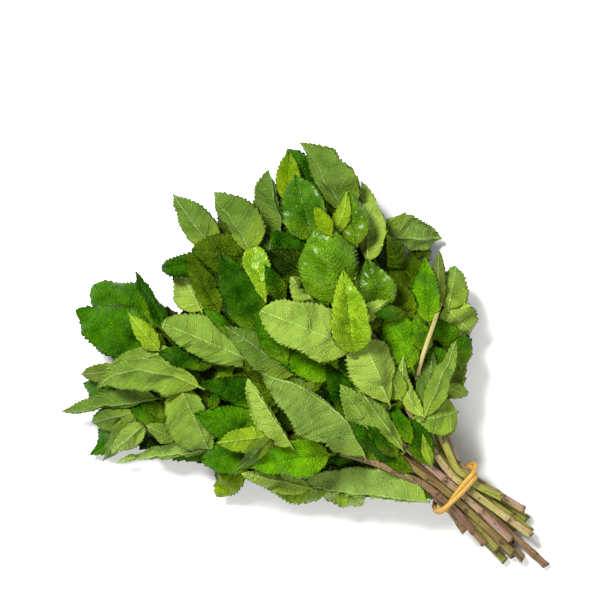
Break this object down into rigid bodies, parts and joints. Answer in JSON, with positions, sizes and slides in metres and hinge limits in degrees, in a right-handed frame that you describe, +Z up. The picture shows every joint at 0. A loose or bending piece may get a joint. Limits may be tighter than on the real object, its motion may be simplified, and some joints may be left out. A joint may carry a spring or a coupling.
{
  "type": "mint bunch",
  "caption": "Fresh mint bunch, cut and tied with a rubber band, lying on its side with serrated leaves and splayed stem ends.",
  "frame": {"origin": "middle of the underside of the bunch's bounding box, on the surface it lies on", "axes": "+X along the bunch from the cut ends to the leafy head, +Y across it, +Z up"},
  "size_m": [0.2668, 0.1994, 0.0732],
  "materials": {
    "leaf": "softly quilted green leaf, glossier above and paler below",
    "green_stem": "smooth yellow-green stem with square ribs",
    "purple_stem": "smooth purple-brown stem with square ribs",
    "rubber_band": "satin tan rubber"
  },
  "bodies": {
    "root": {"leaf_centre_dark": "leaf", "leaf_centre_fan": "leaf", "leaf_centre_narrow": "leaf", "leaf_centre_pale": "leaf", "leaf_centre_quilted": "leaf", "leaf_centre_under": "leaf", "leaf_centre_wet": "leaf", "leaf_crown_dark": "leaf", "leaf_crown_far": "leaf", "leaf_crown_glossy": "leaf", "leaf_crown_light": "leaf", "leaf_crown_low": "leaf", "leaf_crown_serrated": "leaf", "leaf_crown_tall": "leaf", "leaf_crown_wide": "leaf", "leaf_far_pale": "leaf", "leaf_front_dark": "leaf", "leaf_front_glossy": "leaf", "leaf_front_long": "leaf", "leaf_front_pale": "leaf", "leaf_front_point": "leaf", "leaf_left_arched": "leaf", "leaf_left_back": "leaf", "leaf_left_broad": "leaf", "leaf_left_drooping": "leaf", "leaf_left_front": "leaf", "leaf_left_long": "leaf", "leaf_lower_bumpy": "leaf", "leaf_lower_narrow": "leaf", "leaf_lower_pale": "leaf", "leaf_right_back": "leaf", "leaf_right_drooping": "leaf", "leaf_right_edge": "leaf", "leaf_right_glossy": "leaf", "leaf_right_pale": "leaf", "leaf_right_round": "leaf", "leaf_under_1": "leaf", "leaf_under_2": "leaf", "leaf_under_3": "leaf", "leaf_under_4": "leaf", "leaf_under_5": "leaf", "leaf_under_6": "leaf", "leaf_under_7": "leaf", "rubber_band": "rubber_band", "stem_bottom_1": "green_stem", "stem_bottom_2": "green_stem", "stem_bottom_3": "purple_stem", "stem_bottom_4": "green_stem", "stem_bottom_5": "green_stem", "stem_middle_1": "purple_stem", "stem_middle_2": "green_stem", "stem_middle_3": "purple_stem", "stem_middle_4": "purple_stem", "stem_middle_5": "green_stem", "stem_middle_6": "purple_stem", "stem_top_1": "purple_stem", "stem_top_2": "green_stem", "stem_top_3": "purple_stem", "stem_top_4": "purple_stem", "stem_top_5": "green_stem"}
  },
  "joints": []
}
